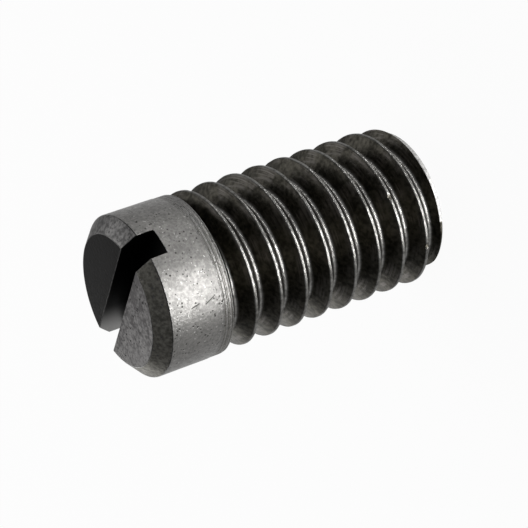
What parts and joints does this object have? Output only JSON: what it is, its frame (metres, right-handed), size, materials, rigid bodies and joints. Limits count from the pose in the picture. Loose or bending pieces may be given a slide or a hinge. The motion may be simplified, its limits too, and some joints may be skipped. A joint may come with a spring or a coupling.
{
  "type": "slotted headless bolt",
  "caption": "Short headless bolt in dark steel: a plain chamfered shank with a straight screwdriver slot, and a coarse right-hand thread down to a chamfered end.",
  "frame": {"origin": "centre of the flat threaded end, on which the bolt stands", "axes": "+Z along the bolt's axis, from the threaded end to the slotted face; Y along the slot"},
  "size_m": [0.004, 0.004, 0.0081],
  "materials": {
    "dark_steel": "dark oiled steel, bright along the worn crests"
  },
  "bodies": {
    "root": {"bolt": "dark_steel"}
  },
  "joints": []
}
